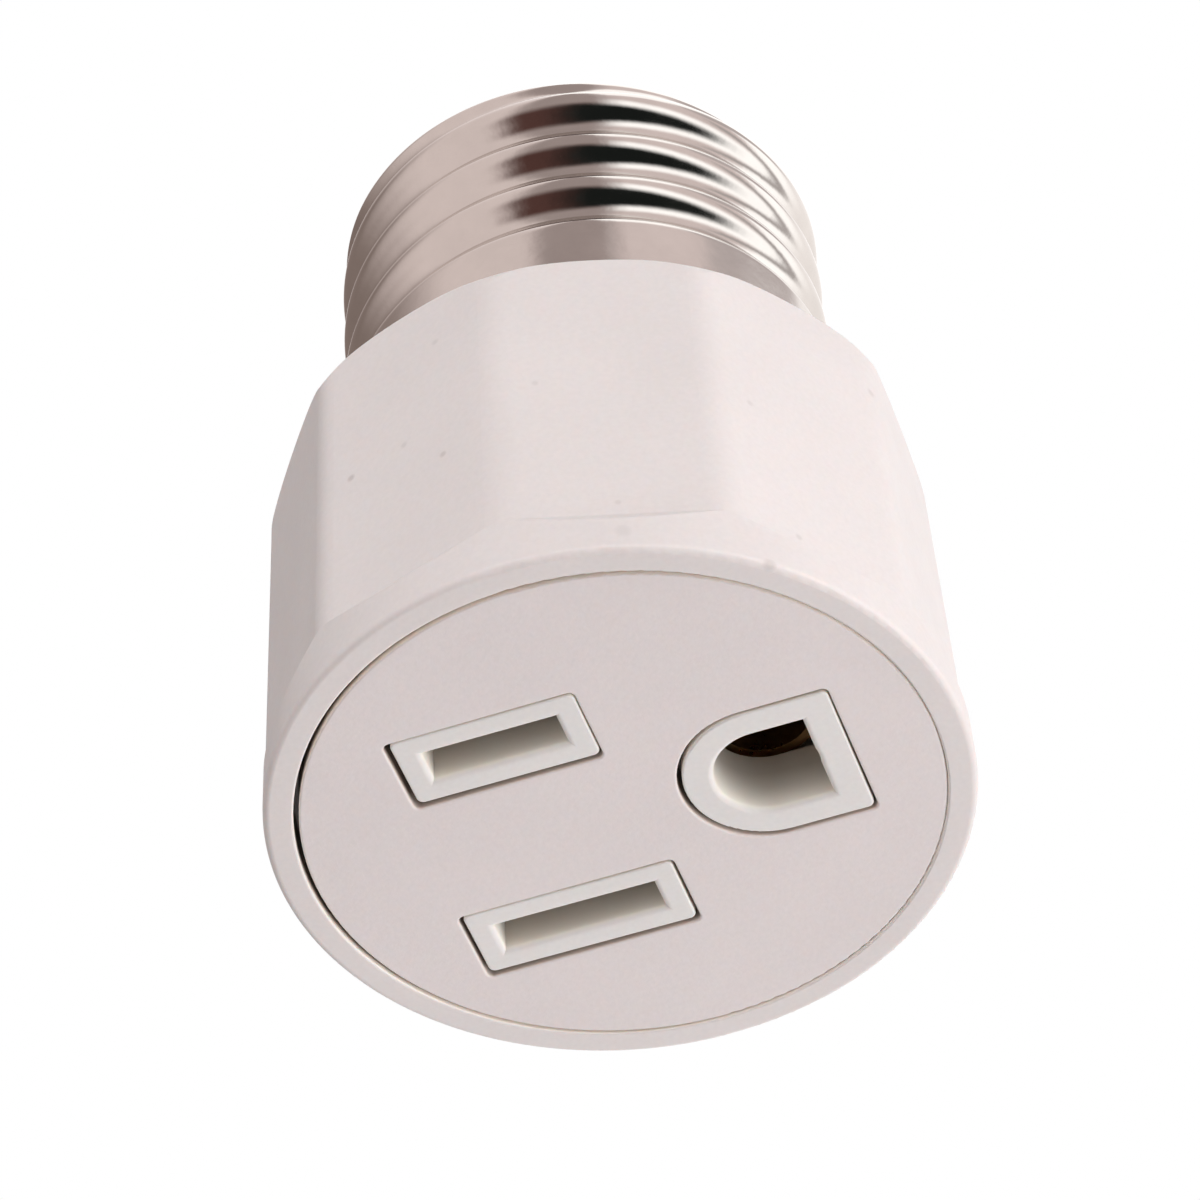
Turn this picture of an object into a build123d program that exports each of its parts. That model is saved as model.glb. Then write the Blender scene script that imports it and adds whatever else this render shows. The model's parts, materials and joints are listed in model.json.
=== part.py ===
from build123d import *
import math
import os

# A screw-in adapter that turns a lamp holder into a grounded three-pin outlet.
# Millimetres and degrees. The outlet face lies on z = 0 and looks down, and the screw base points up.
# The ground hole is towards +X, the line slot towards -Y and the neutral slot towards +Y.

# Outlet layout
blade_spacing = 12.7
ground_reach = 11.89
blade_line = -4.52
line_slot_length = 6.9
neutral_slot_length = 8.5
slot_width = 1.9
ground_radius = 2.65
ground_flat = 2.6
mouth_round = 0.3
edge_round = 0.12

# Collars of the contact carrier, which show through windows in the face plate
collar_end = 1.26
collar_side = 1.22
ground_collar = 1.56
ground_collar_flat = 1.66
collar_corner = 0.35
window_gap = 0.19

# Face plate, let into the mouth of the housing
plate_thickness = 2.0
plate_recess = 0.06
plate_turn = -0.4
mouth_gap = 0.15

# Contact carrier and the retainer behind it
flange_thickness = 1.7
flange_gap = 0.25
tower_depth = 16.0
tower_wall = 1.0
pocket_end_room = 0.4
pocket_width = 4.6
retainer_thickness = 1.5
tail_slit_gap = 0.25

# Housing
rim_radius = 17.6
rim_width = 1.5
rim_round = 0.35
seat_ledge = 1.1
housing_draft = 1.1
end_wall = 2.0
shoulder_round = 1.9
facet_count = 10
facet_start = 3.3
facet_ramp = 35.0
facet_corner = 2.7
corner_relief = 0.03
key_width = 2.4
key_height = 1.1
key_gap = 0.15

# Screw base: crest radius, depth and pitch of the rolled thread, seven turns to the inch
crest_radius = 13.15
thread_depth = 0.83
thread_pitch = 25.4 / 7
shell_wall = 0.35
skirt_length = 5.74
thread_turns = 3.84
fade_turns = 0.52
sections_per_turn = 12
first_crest_angle = -169.0
lip_height = 0.5
lip_round = 0.45
lip_radius = 9.6
neck_gap = 0.06
neck_wall = 1.9

# Tip of the screw base
insulator_gap = 0.1
insulator_flange = 1.6
insulator_rise = 3.0
insulator_top = 6.2
button_radius = 4.8
button_edge = 0.5
button_dome = 1.2
shank_radius = 1.1
shank_gap = 0.08
clinch_radius = 1.9
clinch_thickness = 0.6

# Blade contacts, folded from brass strip
contact_thickness = 0.5
blade_grip = 1.2
contact_back_gap = 3.3
contact_mouth_gap = 3.0
contact_bend = 0.7
contact_front_room = 0.5
grip_height = 4.2
spread_height = 12.0
contact_end_room = 0.4

# Ground contact, a split socket on a square foot
ground_front_room = 0.3
ground_grip_radius = 2.25
ground_flare = 0.2
ground_flare_height = 2.5
ground_split = 1.6
ground_foot = 6.6

# Straps from the contact tails to the screw base
tail_width = 3.2
tail_inset = 0.3
tail_rise = 4.5
strap_thickness = 0.4
strap_bend = 0.7
eye_radius = 2.6
neutral_exit = 10.0
neutral_tongue = 5.0
neck_window_gap = 0.3
rivet_shank = 0.6
rivet_head = 1.1
rivet_head_thickness = 0.35

# Heights that follow from the stack of pieces
plate_back = plate_recess + plate_thickness
flange_back = plate_back + flange_thickness
carrier_back = flange_back + tower_depth
retainer_back = carrier_back + retainer_thickness
housing_back = retainer_back + end_wall
thread_start = housing_back + skirt_length
thread_end = thread_start + thread_turns * thread_pitch
lip_back = thread_end + lip_height
neck_back = lip_back - shell_wall - insulator_flange
insulator_back = lip_back + insulator_rise

# Radii that follow from the fits
mouth_radius = rim_radius - rim_width
plate_radius = mouth_radius - mouth_gap
housing_bore = mouth_radius - seat_ledge
flange_radius = housing_bore - flange_gap
root_radius = crest_radius - thread_depth
neck_radius = root_radius - shell_wall - neck_gap
neck_bore = neck_radius - neck_wall

# Where the plate and the carrier settle inside their play
plate_seat = (0.75 * mouth_gap, 0.4 * mouth_gap)
carrier_seat = (plate_seat[0] + 0.42 * window_gap, plate_seat[1] - 0.53 * window_gap)

# Places on the outlet face, from the middle of the carrier
line_place = (blade_line, -blade_spacing / 2)
neutral_place = (blade_line, blade_spacing / 2)
ground_place = (blade_line + ground_reach, 0)


def placed(sketch, place, z):
    """Lays a flat sketch at a place on the carrier, at height z."""
    return Pos(carrier_seat[0] + place[0], carrier_seat[1] + place[1], z) * sketch


def ground_outline(radius, flat):
    """An outline that is round towards the slots and flat on the far side."""
    return Circle(radius) + Pos(flat / 2, 0) * Rectangle(flat, 2 * radius)


def slot_collar(length, margin):
    """The outline of a slot's collar, grown by a margin."""
    return RectangleRounded(
        length + 2 * (collar_end + margin),
        slot_width + 2 * (collar_side + margin),
        collar_corner,
    )


def ground_collar_outline(margin):
    """The outline of the ground hole's collar, grown by a margin."""
    radius = ground_radius + ground_collar + margin
    outline = ground_outline(radius, ground_flat + ground_collar_flat + margin)
    far_corners = outline.vertices().group_by(Axis.X)[-1]
    return fillet(far_corners, collar_corner)


def collars(margin):
    """The three collar outlines with their places."""
    return [
        (slot_collar(line_slot_length, margin), line_place),
        (slot_collar(neutral_slot_length, margin), neutral_place),
        (ground_collar_outline(margin), ground_place),
    ]


def openings():
    """The three openings of the outlet with their places."""
    return [
        (Rectangle(line_slot_length, slot_width), line_place),
        (Rectangle(neutral_slot_length, slot_width), neutral_place),
        (ground_outline(ground_radius, ground_flat), ground_place),
    ]


def pocket_sizes():
    """Length, width and place of the pocket behind each opening."""
    ground_size = ground_foot + 2 * pocket_end_room
    return [
        (line_slot_length + 2 * pocket_end_room, pocket_width, line_place),
        (neutral_slot_length + 2 * pocket_end_room, pocket_width, neutral_place),
        (ground_size, ground_size, ground_place),
    ]


def housing_outside():
    """A drafted round blank with ten flats that start above a round rim and run out over the shoulder."""
    blank = extrude(Circle(rim_radius), housing_back, taper=housing_draft)
    blank = fillet(blank.edges().group_by(Axis.Z)[-1], shoulder_round)
    blank = fillet(blank.edges().group_by(Axis.Z)[0], rim_round)
    half_side = 180 / facet_count
    corner_reach = rim_radius - facet_start * math.tan(math.radians(housing_draft)) - corner_relief
    apothem = (corner_reach - facet_corner) * math.cos(math.radians(half_side)) + facet_corner
    flats = RegularPolygon(apothem, facet_count, major_radius=False, rotation=half_side)
    flats = Pos(0, 0, facet_start) * fillet(flats.vertices(), facet_corner)
    upper = extrude(flats, housing_back - facet_start, taper=housing_draft)
    lower = extrude(flats, facet_start, dir=(0, 0, -1), taper=-facet_ramp)
    return blank & (upper + lower)


def neck_window():
    """The cutter for the neutral strap's way out through the neck and the channel outside it."""
    width = tail_width + 2 * neck_window_gap
    exit_z = housing_back + neutral_exit
    height = strap_thickness + 2 * strap_bend
    slot = Pos(neutral_tail_x(), 0, exit_z) * Box(
        width, neck_radius, height, align=(Align.CENTER, Align.MIN, Align.CENTER)
    )
    channel = Pos(neutral_tail_x(), tongue_inside(), exit_z - height / 2) * Box(
        width, neck_radius, neutral_tongue + height, align=(Align.CENTER, Align.MIN, Align.MIN)
    )
    return slot + channel


def make_housing():
    """The moulded body: faceted cup, mouth for the plate, key, end wall and the neck inside the screw shell."""
    body = housing_outside()
    body += Pos(0, 0, housing_back) * extrude(Circle(neck_radius), neck_back - housing_back)
    body -= extrude(Circle(mouth_radius), plate_back)
    body = fillet(body.faces().sort_by(Axis.Z)[0].inner_wires()[0].edges(), edge_round)
    body -= Pos(0, 0, plate_back) * extrude(Circle(housing_bore), retainer_back - plate_back)
    body -= Pos(0, 0, retainer_back) * extrude(Circle(neck_bore), neck_back - retainer_back)
    body -= neck_window()
    key = Pos(-housing_bore, 0, plate_back) * Box(
        2 * key_height, key_width, retainer_back - plate_back, align=(Align.CENTER, Align.CENTER, Align.MIN)
    )
    inside = Pos(0, 0, plate_back) * extrude(Circle(housing_bore), retainer_back - plate_back)
    return body + (key & inside)


def key_notch(z, height):
    """The cutter that lets a disc slide past the housing's key."""
    return Pos(-housing_bore, 0, z) * Box(
        2 * (key_height + key_gap + flange_gap),
        key_width + 2 * key_gap,
        height,
        align=(Align.CENTER, Align.CENTER, Align.MIN),
    )


def make_face_plate():
    """The round plate with three windows for the collars."""
    seat = Pos(plate_seat[0], plate_seat[1], plate_recess) * Rot(0, 0, plate_turn)
    plate = seat * extrude(Circle(plate_radius), plate_thickness)
    for outline, place in collars(window_gap):
        plate -= seat * extrude(Pos(place[0], place[1]) * outline, plate_thickness)
    return fillet(plate.faces().sort_by(Axis.Z)[0].edges(), edge_round)


def make_contact_carrier():
    """The moulded carrier: flange, collars in front, and a walled pocket behind each opening."""
    room = Pos(carrier_seat[0], carrier_seat[1]) * Circle(flange_radius - abs(carrier_seat[0]))
    carrier = Pos(0, 0, plate_back) * extrude(room, flange_thickness)
    carrier -= key_notch(plate_back, flange_thickness)
    for outline, place in collars(0):
        carrier += extrude(placed(outline, place, plate_recess), plate_thickness)
    for length, width, place in pocket_sizes():
        wall = Rectangle(length + 2 * tower_wall, width + 2 * tower_wall) - Rectangle(length, width)
        carrier += Pos(0, 0, flange_back) * extrude(placed(wall, place, 0) & room, tower_depth)
    for outline, place in openings():
        carrier -= extrude(placed(outline, place, plate_recess), plate_thickness + flange_thickness)
    front = carrier.faces().group_by(Axis.Z)[0]
    mouths = [edge for face in front for wire in face.inner_wires() for edge in wire.edges()]
    carrier = fillet(mouths, mouth_round)
    front = carrier.faces().group_by(Axis.Z)[0]
    rims = [edge for face in front for edge in face.outer_wire().edges()]
    return fillet(rims, edge_round)


def line_tail_x():
    """The middle of the line contact's tail, at the inner end of the contact."""
    return tail_x(line_slot_length)


def neutral_tail_x():
    """The middle of the neutral contact's tail, at the inner end of the contact."""
    return tail_x(neutral_slot_length)


def tail_x(slot_length):
    """The middle of a tail along X, set in from the end of its contact."""
    contact_end = slot_length / 2 - contact_end_room
    return carrier_seat[0] + blade_line + contact_end - tail_inset - tail_width / 2


def tail_y(side):
    """The middle of a tail's thickness, on the side of its contact that faces the axis."""
    back_offset = (contact_back_gap + contact_thickness) / 2
    return carrier_seat[1] + side * (blade_spacing / 2 - back_offset)


def tongue_inside():
    """Where the tongue of the neutral strap starts, so that its edges lie against the screw shell."""
    half = tail_width / 2
    reach = max(abs(neutral_tail_x() - half), abs(neutral_tail_x() + half))
    return math.sqrt((neck_radius + neck_gap) ** 2 - reach**2) - strap_thickness - neck_gap


def make_contact_retainer():
    """The insulating disc that closes the pockets and lets the two tails through."""
    disc = Pos(0, 0, carrier_back) * extrude(Circle(flange_radius), retainer_thickness)
    disc -= key_notch(carrier_back, retainer_thickness)
    slit = Rectangle(tail_width + 2 * tail_slit_gap, contact_thickness + 2 * tail_slit_gap)
    for x, side in ((line_tail_x(), -1), (neutral_tail_x(), 1)):
        disc -= extrude(Pos(x, tail_y(side), carrier_back) * slit, retainer_thickness)
    return disc


def bent_strip(points, bend, width, thickness, x):
    """A strip of constant thickness that follows points (y, z) in a plane square to X, with round bends."""
    path = FilletPolyline(*[(x, y, z) for y, z in points], radius=bend)
    section = Plane(path @ 0, x_dir=(1, 0, 0), z_dir=path % 0) * Rectangle(width, thickness)
    return sweep(section, path=path)


def make_blade_contact(slot_length, side):
    """A folded contact: two sprung leaves that grip a blade, a bridge at the back and a tail."""
    x = carrier_seat[0] + blade_line
    middle = carrier_seat[1] + side * blade_spacing / 2
    back = (contact_back_gap + contact_thickness) / 2
    grip = (blade_grip + contact_thickness) / 2
    mouth = (contact_mouth_gap + contact_thickness) / 2
    bridge_z = carrier_back - contact_thickness / 2
    front_z = flange_back + contact_front_room
    leaf = [
        (mouth, front_z),
        (grip, flange_back + grip_height),
        (back, flange_back + spread_height),
        (back, bridge_z),
    ]
    points = [(middle + y, z) for y, z in leaf] + [(middle - y, z) for y, z in reversed(leaf)]
    contact = bent_strip(points, contact_bend, slot_length - 2 * contact_end_room, contact_thickness, x)
    tail = Pos(tail_x(slot_length), tail_y(side), carrier_back - 2 * contact_bend) * Box(
        tail_width,
        contact_thickness,
        2 * contact_bend + retainer_thickness + end_wall + tail_rise,
        align=(Align.CENTER, Align.CENTER, Align.MIN),
    )
    return contact + tail - rivet_hole(slot_length, side)


def rivet_z():
    """The height of the rivets that hold the straps to the tails."""
    return housing_back + tail_rise / 2


def rivet_hole(slot_length, side):
    """The cutter for a rivet's shank through a tail and its strap."""
    return Pos(tail_x(slot_length), tail_y(side), rivet_z()) * Rot(90, 0, 0) * Cylinder(
        rivet_shank, 4 * (contact_thickness + strap_thickness)
    )


def make_rivet(slot_length, side):
    """A rivet with a round head on the tail and a clinched head on the strap."""
    stack = contact_thickness + strap_thickness
    rivet = Cylinder(rivet_shank, stack + 2 * rivet_head_thickness)
    for end in (-1, 1):
        head = Pos(0, 0, end * (stack + rivet_head_thickness) / 2) * Cylinder(rivet_head, rivet_head_thickness)
        outer_edge = head.edges().group_by(Axis.Z)[-1 if end > 0 else 0]
        rivet += chamfer(outer_edge, rivet_head_thickness / 2)
    middle_y = tail_y(side) - side * strap_thickness / 2
    return Pos(tail_x(slot_length), middle_y, rivet_z()) * Rot(90, 0, 0) * rivet


def make_ground_contact():
    """A round socket for the ground pin, flared at its mouth, split on one side, on a square foot."""
    outer = ground_grip_radius + contact_thickness
    front = flange_back + ground_front_room
    foot_z = carrier_back - contact_thickness
    profile = Polyline(
        (ground_grip_radius, foot_z),
        (ground_grip_radius, front + ground_flare_height),
        (ground_grip_radius + ground_flare, front),
        (outer + ground_flare, front),
        (outer, front + ground_flare_height),
        (outer, foot_z),
        close=True,
    )
    socket = revolve(Plane.XZ * make_face(profile), Axis.Z)
    split = Pos(0, 0, front) * Box(
        outer + ground_flare, ground_split, foot_z - front, align=(Align.MIN, Align.CENTER, Align.MIN)
    )
    foot = Pos(0, 0, foot_z) * extrude(Rectangle(ground_foot, ground_foot), contact_thickness)
    contact = socket - split + foot
    return placed(contact, ground_place, 0)


def strap_y(side):
    """The middle of a strap's thickness, flat against the inner face of its tail."""
    return tail_y(side) - side * (contact_thickness + strap_thickness) / 2


def make_line_strap():
    """The strip from the line tail up the neck to an eye under the centre contact."""
    x = line_tail_x()
    y = strap_y(-1)
    top = neck_back - strap_thickness / 2
    inner = y + 2 * strap_bend
    strip = bent_strip([(y, housing_back), (y, top), (inner, top)], strap_bend, tail_width, strap_thickness, x)
    end_left = Pos(x - tail_width / 2 + strap_thickness, inner) * Circle(strap_thickness)
    end_right = Pos(x + tail_width / 2 - strap_thickness, inner) * Circle(strap_thickness)
    eye = make_hull((Circle(eye_radius) + end_left + end_right).edges())
    eye -= Circle(shank_radius + shank_gap)
    strip += Pos(0, 0, neck_back - strap_thickness) * extrude(eye, strap_thickness)
    return strip - rivet_hole(line_slot_length, -1)


def make_neutral_strap():
    """The strip from the neutral tail up the neck, out through its window and along inside the shell."""
    y = strap_y(1)
    exit_z = housing_back + neutral_exit
    tongue = tongue_inside() + strap_thickness / 2
    points = [(y, housing_back), (y, exit_z), (tongue, exit_z), (tongue, exit_z + neutral_tongue)]
    strip = bent_strip(points, strap_bend, tail_width, strap_thickness, neutral_tail_x())
    return strip - rivet_hole(neutral_slot_length, 1)


def ease(t):
    """A smooth step from 0 to 1."""
    t = min(max(t, 0.0), 1.0)
    return t * t * (3 - 2 * t)


def thread_section(turn, inset):
    """A flat section of the thread: a circle set off the axis towards the crest, which turns once for each pitch.

    The groove fades in above the skirt, where the circle is still on the axis.
    """
    root = crest_radius - thread_depth * ease(turn / fade_turns)
    offset = (crest_radius - root) / 2
    angle = math.radians(first_crest_angle + 360 * turn)
    centre = Pos(offset * math.cos(angle), offset * math.sin(angle), thread_start + turn * thread_pitch)
    return centre * Circle((crest_radius + root) / 2 - inset)


def thread_side(inset):
    """The threaded surface at a depth below the outside of the shell."""
    count = round(thread_turns * sections_per_turn)
    sections = [thread_section(thread_turns * step / count, inset) for step in range(count + 1)]
    return loft(sections).faces().sort_by(Axis.Z)[1]


def lip_block(inset):
    """The end of the shell as a solid with a round edge, at a depth below its outside."""
    block = extrude(thread_section(thread_turns, inset), lip_height - inset)
    return fillet(block.edges().group_by(Axis.Z)[-1], lip_round - inset)


def make_screw_shell():
    """The rolled sheet shell: plain skirt, Edison thread, and a lip turned in over the insulator."""
    ends = [(thread_section(turn, 0) - thread_section(turn, shell_wall)).face() for turn in (0, thread_turns)]
    thread = Solid(Shell([thread_side(0), thread_side(shell_wall)] + ends))
    skirt_ring = Circle(crest_radius) - Circle(crest_radius - shell_wall)
    skirt = Pos(0, 0, housing_back) * extrude(skirt_ring, skirt_length)
    lip_hole = Pos(0, 0, thread_end) * extrude(Circle(lip_radius), lip_height)
    return skirt + thread + (lip_block(0) - lip_block(shell_wall) - lip_hole)


def make_tip_insulator():
    """The insulator that closes the shell: a flange under the lip and a cone that carries the contact."""
    flange_reach = root_radius - lip_round - insulator_gap
    waist = lip_radius - insulator_gap
    profile = Polyline(
        (shank_radius + shank_gap, neck_back),
        (flange_reach, neck_back),
        (flange_reach, neck_back + insulator_flange),
        (waist, neck_back + insulator_flange),
        (waist, lip_back),
        (insulator_top, insulator_back),
        (shank_radius + shank_gap, insulator_back),
        close=True,
    )
    return revolve(Plane.XZ * make_face(profile), Axis.Z)


def make_centre_contact():
    """The domed centre contact, riveted through the insulator and the line strap's eye."""
    button = Pos(0, 0, insulator_back) * extrude(Circle(button_radius), button_edge)
    dome_radius = (button_radius**2 + button_dome**2) / (2 * button_dome)
    top = insulator_back + button_edge
    dome = Pos(0, 0, top + button_dome - dome_radius) * Sphere(dome_radius)
    dome &= Pos(0, 0, top) * extrude(Circle(button_radius), button_dome)
    eye_back = neck_back - strap_thickness
    shank = Pos(0, 0, eye_back) * extrude(Circle(shank_radius), insulator_back - eye_back)
    clinch = Pos(0, 0, eye_back - clinch_thickness) * extrude(Circle(clinch_radius), clinch_thickness)
    clinch = chamfer(clinch.edges().group_by(Axis.Z)[0], clinch_thickness / 2)
    return button + dome + shank + clinch


nodes = {
    "housing": make_housing(),
    "face_plate": make_face_plate(),
    "contact_carrier": make_contact_carrier(),
    "contact_retainer": make_contact_retainer(),
    "line_contact": make_blade_contact(line_slot_length, -1),
    "neutral_contact": make_blade_contact(neutral_slot_length, 1),
    "ground_contact": make_ground_contact(),
    "line_strap": make_line_strap(),
    "neutral_strap": make_neutral_strap(),
    "line_rivet": make_rivet(line_slot_length, -1),
    "neutral_rivet": make_rivet(neutral_slot_length, 1),
    "screw_shell": make_screw_shell(),
    "tip_insulator": make_tip_insulator(),
    "centre_contact": make_centre_contact(),
}

os.makedirs("parts", exist_ok=True)
for name, shape in nodes.items():
    export_step(shape, f"parts/{name}.step")
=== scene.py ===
"""Looks of the lamp socket outlet adapter: fine screw shell, materials, studio light and camera.

Metres, in the frame of the solids: the outlet face lies on z = 0 and looks down, the screw base points up,
the ground hole is towards +X. The photograph looks up at the outlet face.
"""

import json
import math

import bpy
from mathutils import Matrix, Vector


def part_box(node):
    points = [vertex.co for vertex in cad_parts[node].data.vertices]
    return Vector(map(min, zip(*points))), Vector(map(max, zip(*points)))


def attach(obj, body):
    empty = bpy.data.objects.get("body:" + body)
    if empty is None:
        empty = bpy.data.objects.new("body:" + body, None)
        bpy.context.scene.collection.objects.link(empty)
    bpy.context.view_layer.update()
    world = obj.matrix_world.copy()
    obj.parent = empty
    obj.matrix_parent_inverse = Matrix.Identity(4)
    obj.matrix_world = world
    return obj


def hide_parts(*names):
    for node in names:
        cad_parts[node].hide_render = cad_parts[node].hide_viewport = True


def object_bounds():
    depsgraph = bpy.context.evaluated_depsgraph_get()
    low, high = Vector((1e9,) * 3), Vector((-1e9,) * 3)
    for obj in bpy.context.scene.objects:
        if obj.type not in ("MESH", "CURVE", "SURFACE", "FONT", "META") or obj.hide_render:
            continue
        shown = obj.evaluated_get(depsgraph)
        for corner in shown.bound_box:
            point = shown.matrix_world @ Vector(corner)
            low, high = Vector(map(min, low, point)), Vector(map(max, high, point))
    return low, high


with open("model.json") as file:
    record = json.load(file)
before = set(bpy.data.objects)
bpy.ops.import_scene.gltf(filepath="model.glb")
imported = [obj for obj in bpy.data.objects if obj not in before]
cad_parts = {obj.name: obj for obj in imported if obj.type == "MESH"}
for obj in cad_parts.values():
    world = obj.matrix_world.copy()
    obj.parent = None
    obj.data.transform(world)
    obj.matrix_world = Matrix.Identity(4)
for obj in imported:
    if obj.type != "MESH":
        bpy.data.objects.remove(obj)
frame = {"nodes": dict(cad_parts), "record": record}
cad_low, cad_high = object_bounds()
middle = Vector((0, 0, (cad_low[2] + cad_high[2]) / 2))
nodes = frame["nodes"]
scene = bpy.context.scene
scene.view_settings.view_transform = "Standard"

MM = 0.001

# Camera, from the photograph
CAMERA_TURN = math.radians(15.5)
CAMERA_RISE = math.radians(-44.46)
CAMERA_DISTANCE = 0.2356
CAMERA_LENS = 143.8
SENSOR_WIDTH = 36.0
AIM_RIGHT = -0.0011
AIM_UP = 0.0448
CAMERA_ROLL = math.radians(-4.37)
CLIP_START = 0.005

# Rolled thread of the screw shell
PITCH = 25.4 / 7 * MM
THREAD_DEPTH = 0.83 * MM
SHELL_WALL = 0.35 * MM
SKIRT_LENGTH = 5.74 * MM
THREAD_TURNS = 3.84
FADE_TURNS = 0.52
LEAD_TURNS = 0.5
FIRST_CREST = math.radians(-169)
LIP_HEIGHT = 0.5 * MM
LIP_ROUND = 0.45 * MM
LIP_RADIUS = 9.6 * MM
COLUMNS = 192
ANGLES = [2 * math.pi * i / COLUMNS for i in range(COLUMNS)]
ROWS_PER_TURN = 36
INNER_ROWS_PER_TURN = 12
LIP_ROWS = 8

# Light that diffuse surfaces get from all round: its level and colour
AMBIENT = 0.12
AMBIENT_COLOR = (1.0, 0.97, 0.95)

# Soft lamps: turn to the camera's right and rise above the horizon in degrees, and power in watts
LAMP_DISTANCE = 0.6
LAMP_SIZE = 0.5
LAMPS = (
    ("front", 0, 5, 1.85),
    ("front low", 0, -10, 0.8),
    ("left front", -45, 5, 0.55),
    ("right front", 45, 5, 0.4),
    ("right", 90, -30, 3.4),
    ("back", 180, -30, 1.3),
    ("left", -90, -30, 0.72),
    ("back left", -160, 30, 0.85),
    ("top", 180, 65, 0.9),
)

# What shiny surfaces mirror: a white dome with soft patches, each laid over those before it. A patch has a
# range of turn and of rise, the blur of its edges in each, all in degrees, how far it sinks for each degree
# of turn, and a colour
DOME_DISTANCE = 0.5
DOME_STEP = 3
DOME_COLOR = (1.5, 1.48, 1.47)
DOME_PATCHES = (
    ((-160, -12), (-110, 140), (14, 24), 0, (0.84, 0.72, 0.695)),
    ((-160, -20), (76, 140), (20, 30), 0, (1.02, 0.92, 0.91)),
    ((-160, -82), (-110, 60), (46, 30), 0, (0.27, 0.21, 0.19)),
    ((14, 80), (40, 130), (12, 22), 0.5, (0.83, 0.71, 0.69)),
    ((104, 160), (-110, 62), (16, 14), 0, (1.15, 1.10, 1.08)),
    ((62, 108), (99, 115), (10, 12), 1.2, (0.52, 0.48, 0.47)),
    ((18, 170), (62, 110), (14, 10), 0, (1.42, 1.38, 1.36)),
    ((-20, 18), (-30, 110), (14, 30), 0, (0.42, 0.345, 0.33)),
    ((62, 118), (47, 66), (12, 6), 0, (0.60, 0.53, 0.52)),
    ((-24, 12), (-140, 8), (18, 36), 0, (0.105, 0.05, 0.043)),
    ((-1, 73), (-140, 10), (22, 26), 0.42, (0.012, 0.014, 0.013)),
)

# Colours that differ a little from the record's under the photograph's light
LOOK_COLORS = {
    "housing_plastic": (0.775, 0.71, 0.70),
    "plate_plastic": (0.79, 0.71, 0.705),
    "carrier_plastic": (0.80, 0.757, 0.742),
    # Much darker than brass: painted shade, for the contact seen only deep in the ground hole
    "contact_brass": (0.42, 0.27, 0.13),
}

# Noises: the size of the lumps, the levels of finer lumps in them, and how much each level weighs
TONE_DRIFT = (9 * MM, 3, 0.5)
TONE_MOTTLE = (0.3 * MM, 2, 0.5)
SHEEN_DRIFT = (2.5 * MM, 2, 0.5)
HOUSING_GRAIN = (0.35 * MM, 3, 0.6)
PLATE_GRAIN = (0.22 * MM, 3, 0.6)
CARRIER_GRAIN = (0.3 * MM, 3, 0.6)
CLOUDS = (3 * MM, 4, 0.6)
WAVES = (1.5 * MM, 3, 0.5)
TARNISH = (1.6 * MM, 4, 0.6)
SWIRLS = (2 * MM, 3, 0.5)

# The values that most of a noise lies between
NOISE_RANGE = (0.3, 0.7)

# Each plastic: roughness, grain and the grain's depth
HOUSING_FINISH = (0.46, HOUSING_GRAIN, 0.006 * MM)
PLATE_FINISH = (0.55, PLATE_GRAIN, 0.012 * MM)
CARRIER_FINISH = (0.42, CARRIER_GRAIN, 0.003 * MM)

# All plastics: how far the tone drifts either way, the sum of its two noises over which it does, how far the
# roughness drifts, and how much light spreads under the surface, how far for each colour and at what scale
TONE_SPAN = 0.025
TONE_RANGE = (0.7, 1.3)
SHEEN_SPAN = 0.05
UNDERGLOW = 0.35
UNDERGLOW_RADIUS = (1.0, 0.6, 0.45)
UNDERGLOW_SCALE = 0.5 * MM

# Bright plate: the tone of its clouds and the noise values over which they clear, its least and most
# roughness and the noise values over which that grows, and the depth of its waves
CLOUD_TONE = 0.93
CLOUD_RANGE = (0.35, 0.7)
PLATED_ROUGHNESS = (0.06, 0.15)
HAZE_RANGE = (0.3, 0.75)
WAVE_DEPTH = 0.014 * MM

# Brass: the tone of its tarnish, the noise values over which that sets in, and its least and most roughness
TARNISH_TONE = 0.5
TARNISH_RANGE = (0.4, 0.75)
BRASS_ROUGHNESS = (0.22, 0.5)

# Black insulator: the tone of its swirls, and roughness outside and inside them
SWIRL_TONE = 1.8
INSULATOR_ROUGHNESS = (0.18, 0.34)

# Share of a face's normal along the axis: up to the first it is an upright wall, from the second it isn't
WALL_SLOPE = (0.3, 0.8)

# Upright walls of the face plate and of the carrier, painted darker deep behind the outlet face as painted
# shade:
# colours near the outlet face and deep behind it, and the depths where the first ends and the second begins.
# The carrier's colour near the face is lighter than its plastic: painted light
PLATE_WALL_SHADE = ((0.80, 0.69, 0.64), (0.26, 0.21, 0.18), 0.12 * MM, 0.6 * MM)
CARRIER_WALL_LIGHT_AND_SHADE = ((0.92, 0.87, 0.80), (0.55, 0.50, 0.45), 0.3 * MM, 2.6 * MM)

# The two walls of the gap round the face plate, in the same form: painted light near the outlet face, painted
# shade deeper in. They count up to a reach from the plate's radius and a depth behind the outlet face, and
# fade out from a share of each
GAP_LIGHT_AND_SHADE = ((0.99, 0.89, 0.82), (0.20, 0.16, 0.13), 0.26 * MM, 0.62 * MM)
GAP_REACH = 0.4 * MM
GAP_DEPTH = 2.2 * MM
GAP_FADE = 0.8
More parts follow.
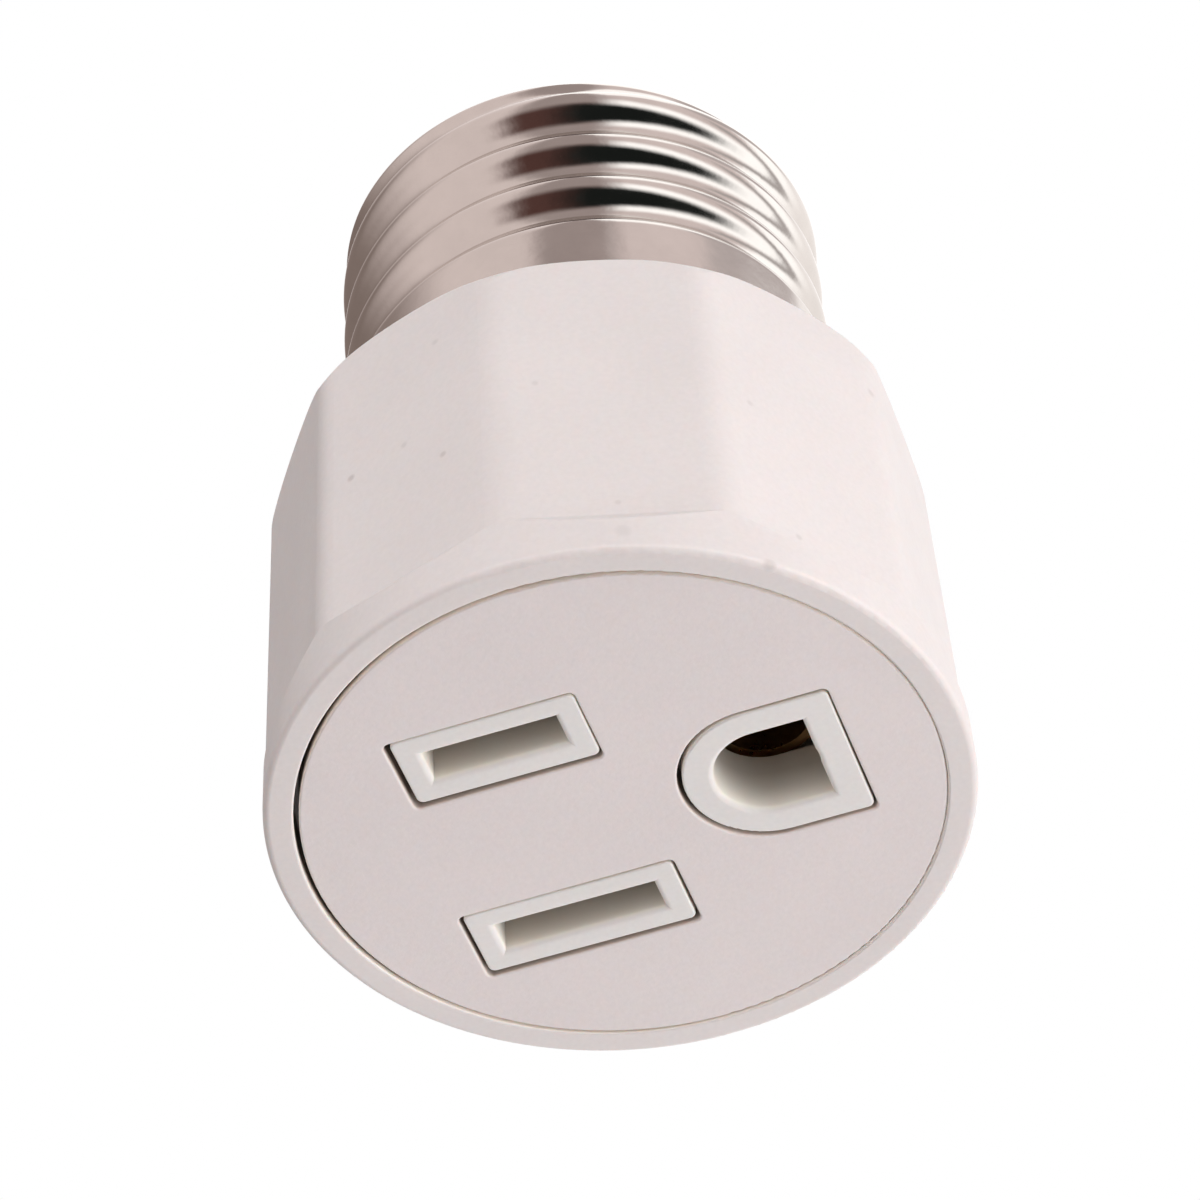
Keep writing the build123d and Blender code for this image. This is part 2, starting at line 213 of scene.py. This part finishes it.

# Specks on the housing, and the painted shade of a nick in its rim (the last): place and radius in
# millimetres, and how strongly they show. They fade out from a share of the radius
SPECK_AND_NICK_SHADE_COLOR = (0.30, 0.25, 0.23)
MARK_FADE = 0.4
SPECKS_AND_NICK_SHADE = (
    ((-8.43, -14.71, 12.85), 0.28, 0.35),
    ((-3.01, -16.52, 10.46), 0.25, 0.28),
    ((-5.26, -15.74, 12.91), 0.25, 0.16),
    ((-3.27, -16.26, 19.36), 0.25, 0.16),
    ((1.95, -16.81, 13.35), 0.22, 0.16),
    ((5.39, -15.88, 4.19), 0.22, 0.16),
    ((5.72, -16.61, 1.25), 0.5, 0.12),
    ((11.52, -12.39, 12.61), 0.25, 0.16),
    ((12.82, -10.89, 3.86), 0.25, 0.2),
    ((16.27, -5.54, 18.86), 0.3, 0.2),
    # The painted shade of a nick in the rim
    ((11.73, -13.02, 0.15), 0.4, 0.3),
)

# Floor, a hair below the rim, so that the two faces don't coincide
FLOOR_DROP = 0.05 * MM
FLOOR_SIZE = 3.0
FLOOR_COLOR = (0.9, 0.9, 0.9)
FLOOR_ROUGHNESS = 0.8


def ease(t):
    """A smooth step from 0 to 1."""
    t = min(max(t, 0.0), 1.0)
    return t * t * (3 - 2 * t)


def thread_shape(phase):
    """Height of the thread from root (0) to crest (1), in equal arcs; phase is in pitches from a crest."""
    rise = THREAD_DEPTH / 2
    run = PITCH / 4
    arc = (run**2 + rise**2) / (2 * rise)
    from_crest = abs((phase + 0.5) % 1.0 - 0.5) * PITCH
    if from_crest <= run:
        drop = arc - math.sqrt(arc**2 - from_crest**2)
        return 1 - drop / THREAD_DEPTH
    from_root = PITCH / 2 - from_crest
    return (arc - math.sqrt(arc**2 - from_root**2)) / THREAD_DEPTH


def thread_radius(angle, turn, crest_radius):
    """Radius of the shell's outside at an angle, a number of turns above the skirt.

    The groove is followed along the helix: it deepens over its first stretch, and the ridge keeps its height.
    """
    phase = turn - (angle - FIRST_CREST) / (2 * math.pi)
    from_root = phase - math.floor(phase) - 0.5
    depth = THREAD_DEPTH * ease((turn - from_root) / FADE_TURNS)
    return crest_radius - depth * (1 - thread_shape(phase))


def ring_of(radii, z):
    """A ring of points at height z, with a radius for each of the angles."""
    return [(radius * math.cos(angle), radius * math.sin(angle), z) for radius, angle in zip(radii, ANGLES)]


def thread_rings(base, crest_radius, inset, rows_per_turn):
    """The rings of the threaded stretch, drawn in by an inset."""
    turns = LEAD_TURNS + THREAD_TURNS
    rows = round(turns * rows_per_turn)
    rings = []
    for row in range(rows + 1):
        turn = turns * row / rows - LEAD_TURNS
        radii = [thread_radius(angle, turn, crest_radius) - inset for angle in ANGLES]
        rings.append(ring_of(radii, base + turn * PITCH))
    return rings


def lip_rings(base, crest_radius, inset):
    """The rings of the lip, which turns in over the insulator where the thread ends, drawn in by an inset."""
    bend = LIP_ROUND - inset
    top = base + LIP_HEIGHT - inset
    thread_end = [thread_radius(angle, THREAD_TURNS, crest_radius) for angle in ANGLES]
    rings = []
    for row in range(LIP_ROWS + 1):
        turn = math.pi / 2 * row / LIP_ROWS
        radii = [radius - LIP_ROUND + bend * math.cos(turn) for radius in thread_end]
        rings.append(ring_of(radii, top - bend + bend * math.sin(turn)))
    rings.append(ring_of([LIP_RADIUS] * COLUMNS, top))
    return rings


def shell_side(base, crest_radius, inset, rows_per_turn):
    """The rings of one side of the shell's sheet, from the end of the skirt to the lip."""
    thread_base = base + SKIRT_LENGTH
    lip_base = thread_base + THREAD_TURNS * PITCH
    rings = [ring_of([crest_radius - inset] * COLUMNS, base)]
    rings += thread_rings(thread_base, crest_radius, inset, rows_per_turn)
    rings += lip_rings(lip_base, crest_radius, inset)
    return rings


def make_screw_shell():
    """The screw shell as a fine closed mesh: skirt, rolled thread and lip, outside and inside the sheet."""
    low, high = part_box("screw_shell")
    outer = shell_side(low.z, high.x, 0, ROWS_PER_TURN)
    inner = shell_side(low.z, high.x, SHELL_WALL, INNER_ROWS_PER_TURN)
    rings = outer + inner[::-1]
    verts = [point for ring in rings for point in ring]
    faces = []
    for row in range(len(rings)):
        above = (row + 1) % len(rings)
        for i in range(COLUMNS):
            j = (i + 1) % COLUMNS
            faces.append((row * COLUMNS + i, row * COLUMNS + j, above * COLUMNS + j, above * COLUMNS + i))
    mesh = bpy.data.meshes.new("screw_shell_rolled")
    mesh.from_pydata(verts, [], faces)
    mesh.shade_smooth()
    shell = bpy.data.objects.new("screw_shell_rolled", mesh)
    scene.collection.objects.link(shell)
    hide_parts("screw_shell")
    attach(shell, "root")
    return shell


class Shader:
    """A node material with one principled shader, and short ways to add the nodes that feed it."""

    def __init__(self, name, metallic=0.0):
        self.material = bpy.data.materials.new(name)
        self.material.use_nodes = True
        self.tree = self.material.node_tree
        self.surface = self.tree.nodes["Principled BSDF"]
        self.surface.inputs["Metallic"].default_value = metallic
        position = self.add("ShaderNodeTexCoord")
        self.place = position.outputs["Object"]
        self.normal = position.outputs["Normal"]

    def add(self, kind, **settings):
        """A new node with some settings."""
        node = self.tree.nodes.new(kind)
        for key, value in settings.items():
            setattr(node, key, value)
        return node

    def link(self, out, into):
        """Joins an output to an input."""
        self.tree.links.new(out, into)

    def feed(self, name, out):
        """Joins an output to one of the surface's inputs."""
        self.link(out, self.surface.inputs[name])

    def noise(self, size, levels, weight):
        """Noise whose lumps are about a size across, as a value from 0 to 1."""
        node = self.add("ShaderNodeTexNoise")
        self.link(self.place, node.inputs["Vector"])
        node.inputs["Scale"].default_value = 1 / size
        node.inputs["Detail"].default_value = levels
        node.inputs["Roughness"].default_value = weight
        return node.outputs["Fac"]

    def compute(self, operation, first, second=None):
        """Works out a value from one output or two."""
        node = self.add("ShaderNodeMath", operation=operation)
        self.link(first, node.inputs[0])
        if second is not None:
            self.link(second, node.inputs[1])
        return node.outputs[0]

    def spread(self, value, span, to):
        """Maps a value from one range to another, clamped."""
        node = self.add("ShaderNodeMapRange")
        self.link(value, node.inputs["Value"])
        for name, number in zip(("From Min", "From Max", "To Min", "To Max"), (*span, *to)):
            node.inputs[name].default_value = number
        return node.outputs["Result"]

    def mix(self, factor, first, second):
        """Mixes two colours, each a colour or an output, by a factor output."""
        node = self.add("ShaderNodeMix", data_type="RGBA")
        self.link(factor, node.inputs[0])
        for socket, value in ((node.inputs[6], first), (node.inputs[7], second)):
            if isinstance(value, bpy.types.NodeSocket):
                self.link(value, socket)
            else:
                socket.default_value = (*value, 1)
        return node.outputs[2]

    def bump(self, height, depth):
        """Raises the surface by a height output times a depth in metres."""
        node = self.add("ShaderNodeBump")
        node.inputs["Strength"].default_value = 1.0
        node.inputs["Distance"].default_value = depth
        self.link(height, node.inputs["Height"])
        self.feed("Normal", node.outputs["Normal"])

    def along(self, vector):
        """The part of a vector output along the axis."""
        node = self.add("ShaderNodeSeparateXYZ")
        self.link(vector, node.inputs[0])
        return node.outputs["Z"]

    def upright(self):
        """1 on walls that run along the axis, 0 on faces across it."""
        return self.spread(self.compute("ABSOLUTE", self.along(self.normal)), WALL_SLOPE, (1, 0))

    def near_radius(self, radius):
        """1 at a distance from the axis, falling to 0 within the gap's reach of it."""
        flat = self.add("ShaderNodeVectorMath", operation="MULTIPLY")
        self.link(self.place, flat.inputs[0])
        flat.inputs[1].default_value = (1, 1, 0)
        size = self.add("ShaderNodeVectorMath", operation="LENGTH")
        self.link(flat.outputs[0], size.inputs[0])
        past = self.add("ShaderNodeMath", operation="SUBTRACT")
        self.link(size.outputs["Value"], past.inputs[0])
        past.inputs[1].default_value = radius
        away = self.compute("ABSOLUTE", past.outputs[0])
        return self.spread(away, (GAP_FADE * GAP_REACH, GAP_REACH), (1, 0))

    def in_gap(self, radius):
        """1 on the walls of the gap at a radius, 0 elsewhere."""
        shallow = self.spread(self.along(self.place), (GAP_FADE * GAP_DEPTH, GAP_DEPTH), (1, 0))
        wall_shading = self.compute("MINIMUM", self.upright(), self.near_radius(radius))
        return self.compute("MINIMUM", wall_shading, shallow)

    def painted_shade_by_depth(self, wall_shading):
        """Painted shade by depth: a colour near the outlet face that turns to a darker one behind it."""
        near, deep, start, end = wall_shading
        return self.mix(self.spread(self.along(self.place), (start, end), (0, 1)), near, deep)

    def speck_and_nick_shade(self, spots):
        """How strongly the specks and the painted shade of the nick show at each point."""
        cover = None
        for place, radius, strength in spots:
            away = self.add("ShaderNodeVectorMath", operation="DISTANCE")
            self.link(self.place, away.inputs[0])
            away.inputs[1].default_value = Vector(place) * MM
            edge = (MARK_FADE * radius * MM, radius * MM)
            one = self.spread(away.outputs["Value"], edge, (strength, 0))
            cover = self.compute("ADD", cover, one) if cover else one
        return cover


def toned(color, tone):
    """A colour made darker or lighter by a factor."""
    return tuple(tone * c for c in color)


def plastic(name, color, finish, wall_shading=None, gap=None, spots=()):
    """Moulded plastic that lets a little light through: tone drift, fine grain, painted light and shade,
    specks.
    """
    roughness, grain, grain_depth = finish
    shader = Shader(name)
    dull = toned(color, 1 - TONE_SPAN)
    bright = toned(color, 1 + TONE_SPAN)
    drift = shader.compute("ADD", shader.noise(*TONE_DRIFT), shader.noise(*TONE_MOTTLE))
    tone = shader.mix(shader.spread(drift, TONE_RANGE, (0, 1)), dull, bright)
    # Painted shade deep behind the outlet face on upright walls, and on the carrier's slot walls painted
    # light near it
    if wall_shading:
        tone = shader.mix(shader.upright(), tone, shader.painted_shade_by_depth(wall_shading))
    # Painted light near the outlet face and painted shade deeper in, on the walls of the gap round the face
    # plate
    if gap:
        tone = shader.mix(shader.in_gap(gap), tone, shader.painted_shade_by_depth(GAP_LIGHT_AND_SHADE))
    # Specks, and on the housing the painted shade of a nick in the rim
    if spots:
        tone = shader.mix(shader.speck_and_nick_shade(spots), tone, SPECK_AND_NICK_SHADE_COLOR)
    shader.feed("Base Color", tone)
    shader.surface.inputs["Subsurface Weight"].default_value = UNDERGLOW
    shader.surface.inputs["Subsurface Radius"].default_value = UNDERGLOW_RADIUS
    shader.surface.inputs["Subsurface Scale"].default_value = UNDERGLOW_SCALE
    shader.bump(shader.noise(*grain), grain_depth)
    sheen = (roughness - SHEEN_SPAN, roughness + SHEEN_SPAN)
    shader.feed("Roughness", shader.spread(shader.noise(*SHEEN_DRIFT), NOISE_RANGE, sheen))
    return shader.material


def plated(name, color):
    """Bright plate over rolled sheet: faint clouds and shallow waves."""
    shader = Shader(name, metallic=1.0)
    cloud = shader.noise(*CLOUDS)
    tone = shader.mix(shader.spread(cloud, CLOUD_RANGE, (0, 1)), toned(color, CLOUD_TONE), color)
    shader.feed("Base Color", tone)
    shader.feed("Roughness", shader.spread(cloud, HAZE_RANGE, PLATED_ROUGHNESS))
    shader.bump(shader.noise(*WAVES), WAVE_DEPTH)
    return shader.material


def brass(name, color):
    """Stamped brass, a little tarnished."""
    shader = Shader(name, metallic=1.0)
    tarnish = shader.noise(*TARNISH)
    tone = shader.mix(shader.spread(tarnish, TARNISH_RANGE, (0, 1)), color, toned(color, TARNISH_TONE))
    shader.feed("Base Color", tone)
    shader.feed("Roughness", shader.spread(tarnish, NOISE_RANGE, BRASS_ROUGHNESS))
    return shader.material


def black_insulator(name, color):
    """Smooth black moulding with faint swirls."""
    shader = Shader(name)
    swirl = shader.noise(*SWIRLS)
    shader.feed("Base Color", shader.mix(swirl, color, toned(color, SWIRL_TONE)))
    shader.feed("Roughness", shader.spread(swirl, NOISE_RANGE, INSULATOR_ROUGHNESS))
    return shader.material


def dress():
    """Gives every node the material of its slot in the record."""
    colors = {m["slot"]: tuple(m["base_color"][:3]) for m in frame["record"]["materials"]}
    colors.update(LOOK_COLORS)
    low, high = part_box("face_plate")
    plate_radius = (high[0] - low[0]) / 2
    made = {
        "housing_plastic": plastic(
            "housing_plastic", colors["housing_plastic"], HOUSING_FINISH, gap=plate_radius, spots=SPECKS_AND_NICK_SHADE
        ),
        "plate_plastic": plastic(
            "plate_plastic", colors["plate_plastic"], PLATE_FINISH, wall_shading=PLATE_WALL_SHADE, gap=plate_radius
        ),
        "carrier_plastic": plastic(
            "carrier_plastic", colors["carrier_plastic"], CARRIER_FINISH, wall_shading=CARRIER_WALL_LIGHT_AND_SHADE
        ),
        "nickel_plate": plated("nickel_plate", colors["nickel_plate"]),
        "contact_brass": brass("contact_brass", colors["contact_brass"]),
        "insulator_black": black_insulator("insulator_black", colors["insulator_black"]),
    }
    for part in frame["record"]["subparts"]:
        mesh = nodes[part["node"]].data
        mesh.materials.clear()
        mesh.materials.append(made[part["material_slot"]])
    return made


def make_floor():
    """A staged pale floor under the adapter, clear from below, where the photograph was taken from."""
    half = FLOOR_SIZE / 2
    mesh = bpy.data.meshes.new("floor")
    corners = [(-half, -half, 0), (half, -half, 0), (half, half, 0), (-half, half, 0)]
    mesh.from_pydata(corners, [], [(0, 1, 2, 3)])
    sheet = bpy.data.objects.new("floor", mesh)
    sheet.location = (0, 0, -FLOOR_DROP)
    scene.collection.objects.link(sheet)
    material = bpy.data.materials.new("floor")
    material.use_nodes = True
    tree = material.node_tree
    surface = tree.nodes["Principled BSDF"]
    surface.inputs["Base Color"].default_value = (*FLOOR_COLOR, 1)
    surface.inputs["Roughness"].default_value = FLOOR_ROUGHNESS
    clear = tree.nodes.new("ShaderNodeBsdfTransparent")
    side = tree.nodes.new("ShaderNodeNewGeometry")
    mix = tree.nodes.new("ShaderNodeMixShader")
    tree.links.new(side.outputs["Backfacing"], mix.inputs[0])
    tree.links.new(surface.outputs[0], mix.inputs[1])
    tree.links.new(clear.outputs[0], mix.inputs[2])
    tree.links.new(mix.outputs[0], tree.nodes["Material Output"].inputs["Surface"])
    mesh.materials.append(material)
    sheet.visible_shadow = False
    sheet.visible_diffuse = False
    sheet.visible_glossy = False


def make_world():
    """White behind the adapter and in its reflections, and a softer level for the light from all round."""
    world = bpy.data.worlds.new("studio")
    world.use_nodes = True
    scene.world = world
    tree = world.node_tree
    around = tree.nodes["Background"]
    around.inputs["Color"].default_value = (*AMBIENT_COLOR, 1)
    around.inputs["Strength"].default_value = AMBIENT
    white = tree.nodes.new("ShaderNodeBackground")
    white.inputs["Color"].default_value = (1, 1, 1, 1)
    path = tree.nodes.new("ShaderNodeLightPath")
    seen = path.outputs["Is Camera Ray"]
    for name in ("Is Glossy Ray", "Is Transmission Ray"):
        either = tree.nodes.new("ShaderNodeMath")
        either.operation = "MAXIMUM"
        tree.links.new(seen, either.inputs[0])
        tree.links.new(path.outputs[name], either.inputs[1])
        seen = either.outputs[0]
    mix = tree.nodes.new("ShaderNodeMixShader")
    tree.links.new(seen, mix.inputs[0])
    tree.links.new(around.outputs[0], mix.inputs[1])
    tree.links.new(white.outputs[0], mix.inputs[2])
    tree.links.new(mix.outputs[0], tree.nodes["World Output"].inputs["Surface"])


def seen_from_camera(turn, rise):
    """The direction at a turn to the camera's right and a rise above the horizon, from the adapter."""
    azimuth = CAMERA_TURN - math.pi / 2 + math.radians(turn)
    height = math.radians(rise)
    level = math.cos(height)
    return Vector((level * math.cos(azimuth), level * math.sin(azimuth), math.sin(height)))


def lamp(name, turn, rise, power):
    """A square soft lamp aimed at the adapter, which the camera and shiny surfaces don't see."""
    data = bpy.data.lights.new(name, "AREA")
    data.size = LAMP_SIZE
    data.energy = power
    light = bpy.data.objects.new(name, data)
    away = seen_from_camera(turn, rise)
    light.location = middle + away * LAMP_DISTANCE
    light.rotation_euler = away.to_track_quat("Z", "Y").to_euler()
    light.visible_glossy = False
    light.visible_camera = False
    scene.collection.objects.link(light)


def soft_range(value, span, blur):
    """1 inside a range and 0 outside it, with blurred ends."""
    return ease((value - span[0]) / blur + 0.5) * ease((span[1] - value) / blur + 0.5)


def dome_color(turn, rise):
    """The colour that shiny surfaces mirror from one direction."""
    color = Vector(DOME_COLOR)
    for turns, rises, blurs, sink, patch in DOME_PATCHES:
        share = soft_range(turn, turns, blurs[0]) * soft_range(rise + sink * turn, rises, blurs[1])
        color = color.lerp(Vector(patch), share)
    return color


def make_dome():
    """A staged dome round the adapter, which only its shiny surfaces see."""
    turns = range(-180, 181, DOME_STEP)
    rises = range(-90, 91, DOME_STEP)
    directions = [(turn, rise) for rise in rises for turn in turns]
    verts = [middle + seen_from_camera(turn, rise) * DOME_DISTANCE for turn, rise in directions]
    faces = []
    for row in range(len(rises) - 1):
        for column in range(len(turns) - 1):
            first = row * len(turns) + column
            faces.append((first, first + 1, first + len(turns) + 1, first + len(turns)))
    mesh = bpy.data.meshes.new("dome")
    mesh.from_pydata(verts, [], faces)
    colors = mesh.color_attributes.new("glow", "FLOAT_COLOR", "POINT")
    for spot, (turn, rise) in zip(colors.data, directions):
        spot.color = (*dome_color(turn, rise), 1)
    material = bpy.data.materials.new("dome")
    material.use_nodes = True
    tree = material.node_tree
    tint = tree.nodes.new("ShaderNodeVertexColor")
    tint.layer_name = "glow"
    glow = tree.nodes.new("ShaderNodeEmission")
    tree.links.new(tint.outputs["Color"], glow.inputs["Color"])
    tree.links.new(glow.outputs[0], tree.nodes["Material Output"].inputs["Surface"])
    mesh.materials.append(material)
    dome = bpy.data.objects.new("dome", mesh)
    scene.collection.objects.link(dome)
    for kind in ("camera", "diffuse", "transmission", "volume_scatter", "shadow"):
        setattr(dome, "visible_" + kind, False)


def make_camera():
    """The photograph's view: from below, turned, rolled and aimed a little above the outlet face."""
    back = Vector((0, -math.cos(CAMERA_RISE), math.sin(CAMERA_RISE)))
    level = Vector((1, 0, 0))
    upright = level.cross(-back)
    forward = (-back + level * AIM_RIGHT + upright * AIM_UP).normalized()
    right = forward.cross(upright).normalized()
    up = right.cross(forward)
    cosine, sine = math.cos(CAMERA_ROLL), math.sin(CAMERA_ROLL)
    right, up = cosine * right + sine * up, cosine * up - sine * right
    axes = Matrix((right, up, -forward)).transposed()
    data = bpy.data.cameras.new("camera")
    data.lens = CAMERA_LENS
    data.sensor_width = SENSOR_WIDTH
    data.clip_start = CLIP_START
    camera = bpy.data.objects.new("camera", data)
    place = Matrix.Translation(back * CAMERA_DISTANCE) @ axes.to_4x4()
    camera.matrix_world = Matrix.Rotation(CAMERA_TURN, 4, "Z") @ place
    scene.collection.objects.link(camera)
    scene.camera = camera


materials = dress()
shell = make_screw_shell()
shell.data.materials.append(materials["nickel_plate"])
make_floor()
make_world()
for name, turn, rise, power in LAMPS:
    lamp(name, turn, rise, power)
make_dome()
make_camera()
